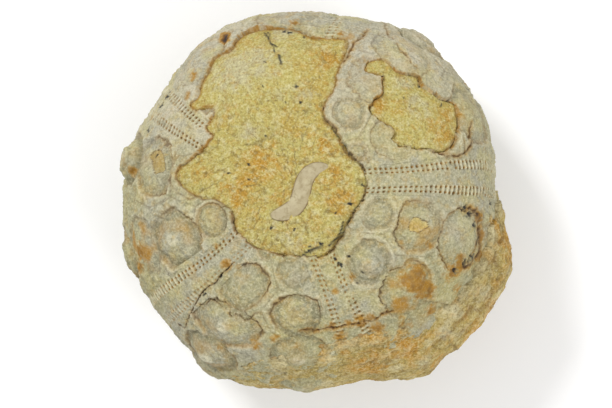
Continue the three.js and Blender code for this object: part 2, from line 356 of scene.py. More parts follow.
def stains(spot, spots, places):
    """Soft patches with ragged rims: the tallest bell at each place, eaten into by noise."""
    most = np.zeros(spot.shape[:-1])
    for angle, arc, radius, strength in places:
        bell = hill(np.linalg.norm(spot - flat_chart(angle, arc), axis=-1), radius)
        most = np.maximum(most, strength * bell)
    eaten = 1 + 0.6 * fractal(spots, 1.8, 3, 12) + 0.5 * noise(spots, 0.6, 14)
    return ramp(most * eaten, 0.25, 1.0)


def specks(spot, spots, places):
    """Small ragged black spots: inside each radius, where noise lets them through."""
    most = np.zeros(spot.shape[:-1])
    for angle, arc, radius in places:
        away = np.linalg.norm(spot - flat_chart(angle, arc), axis=-1)
        most = np.maximum(most, ramp(0.9 - away / radius + 0.9 * noise(spots, 0.5, 13), 0.1, 0.7))
    return most


# ---- Anatomy ----
def band_axis(nth, arc):
    """Angle of an ambulacrum's middle: its sway dies out from the pole to the ambitus."""
    axis, sway = AMBULACRA[nth % 5]
    towards_pole = np.where(arc < WHOLE_ARC / 2, np.cos(math.pi * arc / WHOLE_ARC) ** 2, 0)
    return axis + 360 * (nth // 5) + sway * towards_pole


def band_half_width(arc):
    return BAND_HALF_WIDTH_POLE + BAND_HALF_WIDTH_GAIN * np.sin(math.pi * arc / WHOLE_ARC).clip(0) ** 1.5


def row_arc(row):
    return np.interp(row, np.arange(len(ROW_ARCS)), ROW_ARCS)


def areole_radius(arc):
    from_pole = np.minimum(arc, WHOLE_ARC - arc) - 9
    return LARGEST_AREOLE * (1 - np.exp(-(np.maximum(from_pole, 0) / 8.5) ** 1.3))


# How single bosses differ from the rest, by (field, side, row): the knob's and the mound's shares of their
# full height, how strongly the plate's outline is lined with rust and with black, how much ochre lies in
# its hollow, how much wider across and longer down it is, and how far in mm it has moved over and down.
PLAIN_BOSS = dict(knob=0.7, mound=0.9, outline=0.45, black=0.1, stain=0.15, wide=1, long=1, over=0, down=0)
BOSSES = {
    (4, -1, 0): dict(knob=0.3, mound=0.8, outline=0.4),
    (4, -1, 1): dict(knob=0.7, mound=1.1, outline=0.3, black=0.3),
    (4, -1, 2): dict(knob=0.4, mound=0.6, outline=1.1, black=0.3, stain=0.9, over=2.1, long=0.95),
    (4, -1, 3): dict(knob=0, mound=0.3),
    (4, 1, 0.5): dict(knob=0.5, mound=0.9, outline=0.3),
    (4, 1, 1.5): dict(knob=0, mound=0.7, outline=0.9, stain=0.4),
    (4, 1, 2.5): dict(knob=0, mound=0.5, outline=1.1, black=0.8, stain=0.1),
    (4, 1, 3.5): dict(knob=0, mound=0.2),
    (3, -1, 1): dict(knob=0.3, mound=0.7, outline=0.9, black=0.5, long=1.18, over=-0.4, down=0.7),
    (3, -1, 2): dict(knob=0.9, mound=0.7, outline=1.0, black=0.6, wide=1.25, long=0.86, down=0.5),
    (3, -1, 3): dict(knob=1.0, mound=1.0, outline=0.7, stain=0.3),
    (3, -1, 4): dict(knob=0.7, mound=1.2, outline=0.3),
    (3, 1, 0.5): dict(knob=0.4, mound=0.7, outline=0.25),
    (3, 1, 1.5): dict(knob=0.3, mound=1.0, outline=1.0, black=0.5, wide=0.93, long=0.86),
    (3, 1, 2.5): dict(knob=0.9, mound=0.8, outline=0.7),
    (3, 1, 3.5): dict(knob=0.6, mound=1.4, outline=0.3),
    (2, -1, 0): dict(knob=0, mound=0),
    (2, -1, 1): dict(knob=0, mound=0),
    (2, -1, 2): dict(knob=0, mound=0.7, outline=0.7, black=0.3),
    (2, -1, 3): dict(knob=0.7, mound=2.0),
    (2, 1, 0.5): dict(knob=0.6, mound=1.0, outline=0.7),
    (2, 1, 1.5): dict(knob=0.8, mound=1.3, outline=0.7, stain=0.3, wide=1.15, long=1.2, over=0.7, down=0.5),
    (2, 1, 2.5): dict(knob=0.2, mound=0.4, stain=0.9),
    (2, 1, 3.5): dict(knob=0.6, mound=1.5, stain=0.3),
    (1, -1, 3): dict(knob=0.2, mound=0.4),
    (1, -1, 4): dict(knob=0.5, mound=0.6),
    (1, 1, 2.5): dict(knob=0.1, mound=0.3),
    (1, 1, 3.5): dict(knob=0.2, mound=0.4),
    (0, -1, 0): dict(knob=0.6, mound=0.9),
    (0, -1, 1): dict(knob=0, mound=0.3),
    (0, -1, 3): dict(knob=0.2, mound=0.6, outline=0.5),
    (0, -1, 4): dict(knob=0.1, mound=0.5),
    (0, 1, 0.5): dict(knob=0.5, mound=0.9, outline=0.3),
    (0, 1, 1.5): dict(knob=0, mound=0.3),
    (0, 1, 2.5): dict(knob=0.1, mound=0.3),
    (0, 1, 3.5): dict(knob=0.6, mound=1.4),
}

# A spine boss's height in mm by its distance from the middle, in areole radii, for an areole of 5 mm: the
# mound with its platform, the sunken areole, the raised ring and the plain field; and the knob on top.
MOUND_PROFILE = np.array([
    (0, 0.52), (0.2, 0.54), (0.27, 0.66), (0.33, 0.8), (0.39, 0.72), (0.46, 0.48), (0.58, 0.34), (0.7, 0.1),
    (0.8, -0.22), (0.89, -0.4), (0.97, -0.32), (1.03, 0.0), (1.1, 0.26), (1.2, 0.2), (1.32, 0.06), (1.5, 0),
])
KNOB_PROFILE = np.array([(0, 0.75), (0.05, 0.8), (0.12, 0.76), (0.2, 0.58), (0.26, 0.26), (0.31, 0.0)])
PROFILE_AREOLE = 5                  # radius in mm that the two profiles are drawn for
RING_AT = 1.16                      # where the ring of large granules stands, in areole radii
RING_BEAD_PITCH = 1.5
GRANULE_PITCH = 0.8
GRANULE_HEIGHT = 0.13               # of those in the ring and those between the bosses
PIT_DEPTH, PIT_RADIUS = 0.35, 0.26  # of the small pit in the top of each knob
FIELD_VAULT = 0.3                   # how far a field's middle stands above its edges
SEAM_DEPTH = 0.1
OUTLINE_DEPTH = 0.3


def field_tubercles(nth):
    """A field's spine bosses as arrays: the column's side, the arc, the areole's radius and each look."""
    rows = [(side, row) for side in (-1, 1) for row in np.arange(0 if side < 0 else 0.5, len(ROW_ARCS) - 1)]
    looks = [{**PLAIN_BOSS, **BOSSES.get((nth, side, row), {})} for side, row in rows]
    side, row = np.array(rows).T
    arc = row_arc(row)
    return dict(side=side, arc=arc, radius=areole_radius(arc),
                **{key: np.array([look[key] for look in looks]) for key in PLAIN_BOSS})


def field_relief(nth, across, arc, half_width, spots):
    """Relief and marks of an interambulacrum: low vault, one boss to each plate with its ring of granules,
    small granules between, and the plates' seams, which are where two bosses are equally near."""
    bosses = field_tubercles(nth)
    x = (across - bosses["side"][:, None, None] * COLUMN_AT) * half_width
    x = np.moveaxis(x, 0, -1) - bosses["over"]
    y = arc[..., None] - bosses["arc"] - bosses["down"]
    reach = np.hypot(x * 0.93 / bosses["wide"], y / bosses["long"]) / bosses["radius"].clip(0.6)
    order = np.argsort(reach, axis=-1)[..., :2]
    nearest, second = np.moveaxis(np.take_along_axis(reach, order, -1), -1, 0)
    mine = order[..., 0]
    pick = {key: values[mine] for key, values in bosses.items()}
    dx, dy = (np.take_along_axis(a, order[..., :1], -1)[..., 0] for a in (x, y))
    turn = np.arctan2(dy, dx)
    size = pick["radius"] / PROFILE_AREOLE

    wavy = 0.13 * noise(spots, 3.2, 21) + 0.07 * noise(spots, 1.2, 22) + 0.05 * noise(spots, 0.55, 23)
    wobble = nearest + wavy * ramp(nearest, 0.1, 0.5)
    mound = np.interp(wobble, *MOUND_PROFILE.T) * np.where(wobble < 1, pick["mound"], 0.7)
    knob = np.interp(nearest + 0.4 * wavy, *KNOB_PROFILE.T) * pick["knob"]
    beads = np.round(2 * math.pi * RING_AT * pick["radius"] / RING_BEAD_PITCH)
    ring = hill(wobble - RING_AT, 0.09) * (0.5 + 0.5 * np.cos(beads * turn)) * GRANULE_HEIGHT
    pit = -PIT_DEPTH * hill(nearest * pick["radius"], PIT_RADIUS) * (pick["knob"] > 0.25)

    patchy = ramp(noise(spots, 5, 31), -0.6, 0.3)
    line = hill((wobble - 1.0) * pick["radius"], 0.12) * ramp(noise(spots, 1.6, 36), -0.9, -0.2)
    # The outline is drawn stronger on the pole side, where its groove lies in shade: its rust and black
    # there are partly stain and partly painted shade.
    pole_side_shade = 0.4 + 0.6 * ramp(-np.sin(turn), -0.5, 0.4)
    outline = (line * pick["outline"] * pole_side_shade * ramp(noise(spots, 6, 37), -0.9, 0.1)).clip(0, 1)
    seam = hill((second - nearest) * pick["radius"] + 2 * wavy, 0.18) * ramp(nearest, 0.95, 1.1) * patchy
    grain, _, _ = cells(across * half_width, arc, GRANULE_PITCH, 5)
    granules = GRANULE_HEIGHT * fall(grain, 0.1, 0.42) * ramp(wobble, 1.12, 1.25)
    relief = FIELD_VAULT * (1 - across ** 2) + (mound + knob) * size + ring + pit + granules
    relief += -SEAM_DEPTH * seam - OUTLINE_DEPTH * outline

    # Painted shade: the sunken areole and the foot of the knob's platform are drawn darker in colour.
    platform = 0.6 * hill((wobble - 0.45) * pick["radius"], 0.25) * ramp(pick["knob"], 0.1, 0.3)
    painted_hollow_shade = fall(wobble, 0.9, 1.0) * np.maximum(ramp(wobble, 0.55, 0.85), platform)
    ochre = pick["stain"] * fall(wobble, 0.6, 1.05) * ramp(noise(spots, 3, 33), -0.3, 0.5)
    ochre = np.maximum(ochre, 0.4 * pick["outline"] * hill((wobble - 1.0) * pick["radius"], 0.4) * patchy)
    ragged = ramp(noise(spots, 2.5, 35), -0.1, 0.3) * ramp(noise(spots, 0.7, 38), -0.6, 0.1)
    black = np.maximum(pick["black"] * hill((wobble - 1.0) * pick["radius"], 0.3) * ragged, 0.4 * outline)
    # Paler on the knob and on the raised ring of granules: partly wear, partly painted highlight.
    rim = hill((wobble - 1.12) * pick["radius"], 0.35) * patchy * np.minimum(pick["mound"], 1) * 0.6
    wear_and_painted_highlight = np.maximum(ramp(knob * size, 0.2, 0.8), rim)
    return relief, dict(ochre=ochre, rust=np.maximum(0.8 * outline, 0.35 * seam), dark=black,
                        painted_hollow_shade=painted_hollow_shade * np.minimum(pick["mound"], 1), wear_and_painted_highlight=wear_and_painted_highlight)


# How clearly each ambulacrum's two pore zones still show, before and after its middle, and how much of
# their filling is black rather than ochre.
PORE_ZONES = [(1.0, 1.0, 0.35), (0.15, 0.7, 0.0), (1.0, 1.0, 0.5), (1.0, 0.5, 0.2), (0.75, 0.8, 0.1)]
INNER_PORE = 1.35                   # from the band's middle to the inner pore near the pole
PORE_GAP = 0.72                     # from there to the outer pore
PORE_SPREAD = 0.45                  # how much both grow at the ambitus
PORE_DEPTH = 0.4
SLOT_DEPTH = 0.15                   # of the slot that joins a pair's pores at the ambitus


def band_relief(nth, x, arc, spots):
    """Relief and marks of an ambulacrum: two pore zones with a pair of pores in each plate, ridges between
    the pairs that strengthen towards the ambitus, and granules on the strip between the zones."""
    width = band_half_width(arc)
    ambitus = ramp(np.sin(math.pi * arc / WHOLE_ARC), 0.6, 0.97)
    side = np.abs(x)
    inner = INNER_PORE + PORE_SPREAD * ambitus
    outer = inner + PORE_GAP + PORE_SPREAD * ambitus
    phase = (arc + 0.15 * (side - inner)) / PLATE_PITCH + np.where(x > 0, 0.5, 0)
    phase = phase + 0.1 * noise(spots, 3, 40)
    off = (phase - np.round(phase)) * PLATE_PITCH
    zone = ramp(side, inner - 0.45, inner - 0.15) * fall(side, outer + 0.15, outer + 0.5)
    before, after, blackness = PORE_ZONES[nth % 5]
    clear = np.where(x > 0, after, before) * ramp(noise(spots, 2.5, 41) + 0.5, -0.3, 0.1)
    uneven = (0.72 + 0.35 * ambitus) * (1 + 0.5 * noise(spots, 0.9, 42))
    pores = [hill(off, 0.2) * hill(side - at, wide * uneven) for at, wide in ((inner, 0.17), (outer, 0.21))]
    pit = np.maximum(*pores) * clear
    slot = hill(off, 0.17) * hill(side - (inner + outer) / 2, 0.45) * ambitus * clear
    ridge = (0.5 - 0.5 * np.cos(2 * math.pi * phase)) * zone * clear
    granule = hill(off, 0.25) * hill(side - 0.8, 0.28)
    granule = granule + hill(off - PLATE_PITCH / 2, 0.2) * hill(side - 0.3, 0.2)
    sunk = fall(side, width - 0.6, width)
    relief = sunk * (-0.15 - 0.08 * zone) + ridge * (0.08 + 0.2 * ambitus)
    relief = relief - PORE_DEPTH * pit - SLOT_DEPTH * slot
    relief += 0.08 * granule * clear
    black = ramp(noise(spots, 2.0, 45) + 2 * blackness - 1, -0.1, 0.5)
    # Painted shade between the pore zones' ridges, and paler ridges that are partly wear and partly painted
    # highlight.
    return relief, dict(ochre=ramp(np.maximum(*pores), 0.1, 0.5) * clear, rust=0.6 * pit + 0.3 * slot,
                        dark=0.9 * pit * black,
                        painted_hollow_shade=0.4 * zone * (1 - ridge) * clear, wear_and_painted_highlight=ridge * (0.2 + 0.6 * ambitus))


# ---- Wear shared by all test surfaces ----
def weathering(spots, spot):
    """Uneven wear of the test, in mm: broad swells, low sharp-edged flakes, dimples and etched grain."""
    nearest, second, tint = warped_cells(spot, spots, 0.8, 2, 50, 2.7, 51)
    flaky = ramp(noise(spots, 6, 52), -0.3, 0.3)
    flakes = flaky * (0.1 * (tint - 0.5) - 0.07 * hill(second - nearest, 0.05))
    pits = ramp(noise(spots, 0.9, 53), 0.25, 0.7)
    swell = 0.22 * fractal(spots, 7, 2, 54) + 0.07 * fractal(spots, 2.0, 3, 56)
    return swell + flakes + 0.07 * noise(spots, 0.5, 59) - 0.13 * pits


GONE = -2.6                         # relief of a test surface where it is broken away, under the filling
LOWER_RIGHT, UPPER_LEFT = 345, 120  # angles of the windows' two edges that differ from the rest
SMALL_WINDOW_AT = 38
CRACK_DEPTH = 0.35
CHIP_DEPTH = 0.3
HOLE_DEPTH = 0.5


def low_right_edge(angle, arc):
    """Where a crevice runs under the large window's edge; the black drawn along it is partly stain and
    partly painted shade.
    """
    return facing(angle, LOWER_RIGHT, -0.1, 0.5) * fall(arc, 15, 17)


def finished_test(angle, arc, spots, relief, marks, half_gap):
    """Adds wear, cracks and stains to a test surface, with painted shade towards the bottom and painted
    light towards the top, and drops it below the filling inside the windows, at the two openings and past
    its own side edges (half_gap is the way in from those)."""
    spot = flat_chart(angle, arc)
    away = window_way(angle, arc, spots)
    crack, crack_dark, crack_rust, crack_halo = crack_marks(angle, arc, spots)
    brown, yellow = (ramp(-way_outside(spot, path) + 0.2 * noise(spots, 1, 62), -0.1, 0.1)
                     for path in (BROWN_PATH, YELLOW_PATH))
    chips = np.maximum(brown, yellow)
    hole_angle, hole_arc, hole_radius = RUST_HOLE
    beside = np.radians(angle - hole_angle) * radius_at(arc)
    hole = hill(np.hypot(beside, 0.5 * (arc - hole_arc)) + 0.25 * noise(spots, 0.7, 63), hole_radius)
    black = specks(spot, spots, BLACK_SPOTS)
    relief = relief + weathering(spots, spot) - CRACK_DEPTH * crack - 0.15 * hill(away, 0.6)
    relief += -CHIP_DEPTH * chips - HOLE_DEPTH * hole - 0.25 * black
    standing = ramp(away, -0.06, 0.1) * ramp(half_gap, -0.45, -0.05)
    from_opening = np.minimum(arc - UPPER_OPENING, LOWER_OPENING - arc)
    standing = standing * ramp(from_opening + noise(spots, 2, 61), -0.3, 0.3)
    relief = GONE + (relief - GONE) * standing

    chip_edge = 4 * chips * (1 - chips)
    low_right = low_right_edge(angle, arc)
    line = hill(away - 0.12, 0.2 - 0.07 * low_right) * ramp(noise(spots, 1.3, 64), -0.5, 0.2)
    upper_left = facing(angle, UPPER_LEFT, 0.3, 0.8)
    warm = np.maximum(upper_left, facing(angle, SMALL_WINDOW_AT, 0.75, 0.95) * ramp(arc, 17, 19))
    edge_ochre = hill(away, 0.3 + 0.1 * upper_left) * (0.5 + 0.2 * upper_left)
    edge_ochre = np.maximum(edge_ochre * ramp(noise(spots, 2, 65), -0.8, 0), warm * line)
    stain = stains(spot, spots, OCHRE_STAINS)
    deep = 0.4 * ramp(stain + 0.45 * noise(spots, 1.2, 68), 0.7, 1.2)
    line_rust = line * 0.7 * (1 - 0.5 * low_right) * (1 - 0.5 * warm)
    # In dark, the black along the lower right edge is partly stain and partly painted shade in the crevice
    # under it.
    added = dict(ochre=[stain, edge_ochre, crack_halo, ramp(hole, 0.05, 0.2)],
                 rust=[crack_rust, line_rust, ramp(hole, 0.25, 0.55), brown * 0.3, 0.8 * chip_edge, deep,
                       0.35 * edge_ochre * upper_left],
                 dark=[crack_dark, 0.6 * line * low_right, black, ramp(hole, 0.6, 1), 0.4 * chip_edge])
    for key, more in added.items():
        marks[key] = np.maximum.reduce([marks[key], *more])
    # Painted light: darker and greener towards the bottom of the view, paler towards the top, where the
    # light comes from.
    marks["olive_painted_shade"] = ramp(-spots[..., 1] - 0.3 * spots[..., 0] + 4 * noise(spots, 12, 66), -6, 10)
    marks["rosy_painted_light"] = ramp(spots[..., 1] - 0.2 * spots[..., 0] + 4 * noise(spots, 12, 67), 8, 22)
    marks["chip"] = np.maximum(yellow, 0.85 * brown)
    return relief + pressed(angle, arc), marks


# ---- Meshes ----
def closed_mesh(name, points, marks, faces, places):
    """A mesh from its points in mm, its faces as arrays of quads and of triangles, marks for each point,
    and a place on the flat map for each corner of each face."""
    mesh = bpy.data.meshes.new(name)
    corners = np.concatenate([group.ravel() for group in faces])
    sizes = np.concatenate([np.full(len(group), group.shape[1]) for group in faces])
    mesh.vertices.add(len(points))
    mesh.vertices.foreach_set("co", (points * METRES).astype(np.float32).ravel())
    mesh.loops.add(len(corners))
    mesh.loops.foreach_set("vertex_index", corners.astype(np.int32))
    mesh.polygons.add(len(sizes))
    mesh.polygons.foreach_set("loop_start", (np.cumsum(sizes) - sizes).astype(np.int32))
    mesh.polygons.foreach_set("use_smooth", np.ones(len(sizes), bool))
    mesh.update(calc_edges=True)
    for key, values in marks.items():
        mark = mesh.attributes.new(key, "FLOAT", "POINT")
        mark.data.foreach_set("value", values.astype(np.float32).ravel())
    grid_map = mesh.uv_layers.new(name="OFBake")
    corner_places = np.concatenate([place.reshape(-1, 2) for place in places])
    grid_map.uv.foreach_set("vector", corner_places.astype(np.float32).ravel())
    mesh.validate()
    return mesh


def capped(loops):
    """The points of a tube's loops, followed by the middles of its first and its last loop."""
    return np.concatenate([loops.reshape(-1, 3), loops[[0, -1]].mean(axis=1)])


CAP = 0.02                          # each end fan's share of the flat map


def tube_faces(rows, columns):
    """Faces of a grid that closes on itself across and is capped by a fan at each end, whose two middle
    points come after the grid's, and where each corner lies on a flat map."""
    row, column = (a.ravel() for a in np.mgrid[0:rows - 1, 0:columns])
    after = (column + 1) % columns
    quads = np.stack([row * columns + column, (row + 1) * columns + column,
                      (row + 1) * columns + after, row * columns + after], -1)
    down = CAP + (1 - 2 * CAP) * np.stack([row, row + 1, row + 1, row], -1) / (rows - 1)
    over = np.stack([column, column, column + 1, column + 1], -1) / columns
    ring = np.arange(columns)
    next_ring = (ring + 1) % columns
    last = (rows - 1) * columns
    top = np.stack([np.full(columns, rows * columns), ring, next_ring], -1)
    bottom = np.stack([np.full(columns, rows * columns + 1), last + next_ring, last + ring], -1)
    share = np.stack([ring + 0.5, ring, ring + 1], -1) / columns
    top_places = np.stack([share, np.tile([0.0, CAP, CAP], (columns, 1))], -1)
    share = np.stack([ring + 0.5, ring + 1, ring], -1) / columns
    bottom_places = np.stack([share, np.tile([1.0, 1 - CAP, 1 - CAP], (columns, 1))], -1)
    return [quads, top, bottom], [np.stack([over, down], -1), top_places, bottom_places]


SLAB_DEPTH = -3.4                   # how deep the closed slabs of test and crust reach, under the filling
BACK_POINTS = 8                     # points across a slab's back
FLOOR_STEP = 0.12                   # surfaces that meet the rest plane stop this far above one another


def slab(name, angle, arc, relief, marks, level=0):
    """A closed slab: the relief surface on top, then back under it at a constant depth. Nothing passes
    below the worn underside; level says how many steps above it this surface stops."""
    top = on_ball(angle, arc, relief)
    back = np.linspace(angle[:, -1], angle[:, 0], BACK_POINTS, axis=1)
    back_arc = np.repeat(arc[:, :1], BACK_POINTS, axis=1)
    under = on_ball(back, back_arc, np.full(back.shape, SLAB_DEPTH))
    loops = np.concatenate([top, under], axis=1)
    points = capped(loops)
    points[:, 2] = points[:, 2].clip(level * FLOOR_STEP)
    padded = {key: np.concatenate([np.pad(values, ((0, 0), (0, BACK_POINTS))).ravel(), [0, 0]])
              for key, values in marks.items()}
    return closed_mesh(name, points, padded, *tube_faces(*loops.shape[:2]))


FINE_ROWS = dict(field=0.21, band=0.15)     # row spacing down to below the ambitus
COARSE_ROWS = dict(field=0.4, band=0.3)     # and on the underside
AMBITUS_END = 56.0
ROWS_LAP = (0.4, 0.6)               # how far the rows run on past the upper and the lower opening


def arc_rows(kind):
    fine = np.arange(UPPER_OPENING - ROWS_LAP[0], AMBITUS_END, FINE_ROWS[kind])
    return np.concatenate([fine, np.arange(AMBITUS_END, LOWER_OPENING + ROWS_LAP[1], COARSE_ROWS[kind])])


FIELD_COLUMNS = 158
BAND_COLUMNS = 60
LAP = 0.5                           # how far a surface runs on past its side edge, dropping under the next


def interambulacrum(nth):
    """The field between bands nth and nth + 1: columns spread evenly between its two edges."""
    rows = arc_rows("field")
    half = np.degrees(band_half_width(rows) / radius_at(rows))
    left, right = band_axis(nth, rows) + half, band_axis(nth + 1, rows) - half
    half_width = np.radians(right - left) / 2 * radius_at(rows)
    lap = 1 + LAP / half_width
    across = np.linspace(-1, 1, FIELD_COLUMNS)[None, :] * lap[:, None]
    angle = (left + right)[:, None] / 2 + across * (right - left)[:, None] / 2
    arc = np.broadcast_to(rows[:, None], across.shape)
    wide = np.broadcast_to(half_width[:, None], across.shape)
    spots = on_ball(angle, arc, 0)
    relief, marks = field_relief(nth, across, arc, wide, spots)
    relief, marks = finished_test(angle, arc, spots, relief, marks, (1 - np.abs(across)) * wide)
    return slab(f"interambulacrum_{nth + 1}", angle, arc, relief, marks)


def ambulacrum(nth):
    """Pore band nth: columns spread evenly across it, a little under the fields on both sides."""
    rows = arc_rows("band")
    reach = band_half_width(rows) + LAP + 0.1
    x = np.linspace(-1, 1, BAND_COLUMNS)[None, :] * reach[:, None]
    arc = np.broadcast_to(rows[:, None], x.shape)
    angle = band_axis(nth, rows)[:, None] + np.degrees(x / radius_at(rows)[:, None])
    spots = on_ball(angle, arc, 0)
    relief, marks = band_relief(nth, x, arc, spots)
    relief, marks = finished_test(angle, arc, spots, relief, marks, np.full(x.shape, FAR))
    return slab(f"ambulacrum_{nth + 1}", angle, arc, relief, marks, level=1)


# ---- The limestone inside ----
# Manganese veins in the filling: half width in mm, and a smooth line.
BLACK_VEINS = [(width, smooth_path(points, False)) for width, points in (
    (0.2, [(102.5, 32), (102, 31), (101.5, 30), (101, 29), (100, 27.5)]),
    (0.12, [(101.5, 32), (101, 30.5), (101.5, 30)]),
    (0.18, [(100.5, 28), (99.5, 27.5), (98.5, 27)]),
    (0.12, [(100, 27.5), (99.5, 26), (99, 25.5)]),
    (0.24, [(98, 25), (97.5, 24), (97, 23)]),
    (0.22, [(278, 13), (286, 12.5), (294, 12.5)]),
    (0.2, [(300, 13), (312, 12.5), (322, 11.5)]),
)]
BLACK_SPECKS = [
    (108, 19, 0.4), (100, 18.5, 0.4), (90, 18, 0.6), (86, 15, 0.5), (83, 13.5, 0.4), (156, 9, 0.5),
    (174, 8, 0.4), (272, 8.5, 0.5), (284, 12.5, 0.8), (340, 11, 0.6), (358, 12.5, 0.6), (295, 12, 0.6),
    (278, 12.5, 0.5), (95.5, 31.5, 0.7), (93.5, 31, 0.9), (88, 29.5, 0.4), (24, 34, 0.3), (43, 25, 0.3),
    (40, 25.5, 0.3), (40.5, 30, 0.5), (30.5, 31.5, 0.6), (17.5, 23, 0.4), (96, 15, 0.35), (120, 10, 0.3),
    (245, 9, 0.35), (325, 9.5, 0.4), (104, 24, 0.3), (170, 12, 0.3), (334, 12.5, 0.5), (326, 12.5, 0.5),
]
# Ochre and cream clouds in the filling, as (angle, arc, radius in mm, strength).
OCHRE_CLOUDS = [
    (50, 9, 4.5, 0.9), (10, 7, 4.0, 0.8), (150, 7, 4.5, 0.9), (186, 10, 4.5, 0.9), (170, 17, 3.5, 0.7),
    (205, 8, 3.0, 0.7), (340, 9, 3.5, 0.9), (70, 16, 3.0, 0.6), (78, 25, 4.0, 0.9), (86, 30, 2.0, 0.7),
    (22, 29.5, 4.0, 0.8), (27, 32, 3.0, 0.7), (44, 21, 2.0, 0.9), (60, 25, 1.2, 0.9), (36, 25, 2.5, 0.5),
    (300, 8, 2.5, 0.5), (120, 8, 1.5, 0.8), (110, 3, 3.0, 0.6), (230, 3, 3.0, 0.7), (54, 29, 1.5, 0.5),
]
CREAM_CLOUDS = [
    (118, 25, 5.5, 1.1), (105, 24, 5.0, 0.9), (136, 20, 3.5, 0.6), (86, 17, 3.5, 0.6),
    (270, 10, 3.5, 0.8), (130, 12.5, 3.0, 0.7), (245, 8, 2.5, 0.6), (34, 27, 3.0, 0.8),
    (44, 28, 2.5, 0.9), (96, 31, 3.5, 0.8), (280, 3, 2.0, 0.4), (290, 12, 2.0, 0.6),
]


FILLING_SHOWS_END = 38              # the arc past which the filling is always covered
SMOOTH_AT = 115                     # angle of the smooth part under the upper left edge
LEFT_LOBE, LEFT_LOBE_RADIUS = (178, 15.5), 6
GROOVE_PITCH = 1.3
LEDGE_HEIGHT = 0.16
FILLING_SUNK = dict(big=0.6, small=0.35)    # below the test's outside, in each window
FILLING_COVERED = 1.2               # how much lower it lies under the test


def filling_relief(angle, arc, spots):
    """Relief and marks of the filling: a little below the test's outside, sagging into a deep crevice along
    the lower right edge, with low ledges, shallow grooves in its left lobe, flakes, pits and grain."""
    spot = flat_chart(angle, arc)
    near = arc < FILLING_SHOWS_END
    big, small = (way_where(near, spot, way_outside, path) for path in (BIG_PATH, SMALL_PATH))
    away = np.minimum(big, small)
    inside = ramp(-away, 0, 5)
    low_right = low_right_edge(angle, arc) * ramp(arc, 8, 11)
    upper_left = facing(angle, UPPER_LEFT, 0.2, 0.8) * ramp(arc, 16, 24)
    sunk = np.where(small < big, FILLING_SUNK["small"], FILLING_SUNK["big"] - 0.25 * upper_left)
    relief = 0.25 * inside - sunk
    relief += -0.25 * low_right * hill(big, 0.3) - FILLING_COVERED * ramp(away, 0.1, 0.7)
    broad = fractal(spots, 8, 2, 71)
    ledge = broad * 2.5 + 0.6 * noise(spots, 2.5, 73)
    stepped = np.floor(ledge) + ramp(ledge - np.floor(ledge), 0.42, 0.58)
    left_lobe = hill(np.linalg.norm(spot - flat_chart(*LEFT_LOBE), axis=-1), LEFT_LOBE_RADIUS)
    grooves = left_lobe * np.cos(2 * math.pi * (arc + 0.6 * noise(spots, 3, 74)) / GROOVE_PITCH)
    nearest, second, tint = warped_cells(spot, spots, 0.6, 1.5, 72, 2.1, 76)
    flakes = 0.2 * (tint - 0.5) - 0.1 * hill(second - nearest, 0.06)
    pits = ramp(noise(spots, 1.0, 77), 0.3, 0.7)
    smooth = 1 - 0.8 * facing(angle, SMOOTH_AT, 0.75, 0.95) * ramp(arc, 15, 21)
    smooth = np.where(small < big, 0.4, smooth)
    rough = 0.12 * fractal(spots, 1.4, 3, 75) + 0.09 * noise(spots, 0.5, 78) - 0.18 * pits
    relief += LEDGE_HEIGHT * stepped * smooth + 0.06 * grooves + smooth * (flakes + rough)

    dark = specks(spot, spots, BLACK_SPECKS)
    for width, path in BLACK_VEINS:
        vein = hill(way_to_path(spot[near] + 0.2 * noise(spots[near], 1.0, 80)[..., None], path), width)
        dark[near] = np.maximum(dark[near], vein)
    # Black along the lower right crevice: partly stain, partly painted shade.
    edge_black_and_shade = 0.8 * hill(big, 0.17) * low_right * ramp(noise(spots, 1.5, 81), -0.3, 0.3)
    edge_rust = hill(away, 0.32) * ramp(noise(spots, 2, 83), -0.3 - 0.6 * upper_left, 0.4)
    ochre = np.maximum(stains(spot, spots, OCHRE_CLOUDS), 0.6 * hill(away, 0.45) * upper_left)
    flake_edge = hill(second - nearest, 0.06) * smooth * ramp(noise(spots, 4, 84), -0.2, 0.3)
    # Painted shade: darker in the pits and along the flake edges.
    return relief, dict(ochre=ochre, cream=stains(spot, spots, CREAM_CLOUDS),
                        dark=np.maximum(dark, edge_black_and_shade), rust=edge_rust * 0.7,
                        painted_hollow_shade=np.maximum(0.8 * pits * smooth, flake_edge))


FILLING_COLUMNS = 600
FILLING_FINE_END = 36               # the arc down to which its rows are closely spaced
FILLING_ROW = 0.3


def limestone_filling():
    """The whole ball of filling, on a grid of angle and arc that is fine down to below the windows."""
    rows = np.concatenate([np.arange(0.4, FILLING_FINE_END, FILLING_ROW),
                           np.linspace(FILLING_FINE_END, WHOLE_ARC - 0.6, 20)])
    angle, arc = np.meshgrid(np.arange(FILLING_COLUMNS) * 360 / FILLING_COLUMNS, rows)
    spots = on_ball(angle, arc, 0)
    relief, marks = filling_relief(angle, arc, spots)
    loops = on_ball(angle, arc, relief + pressed(angle, arc))
    points = capped(loops)
    points[:, 2] = points[:, 2].clip(2 * FLOOR_STEP)
    ends = {key: np.concatenate([values.ravel(), values[[0, -1]].mean(axis=1)])
            for key, values in marks.items()}
    return closed_mesh("limestone_filling", points, ends, *tube_faces(*loops.shape[:2]))


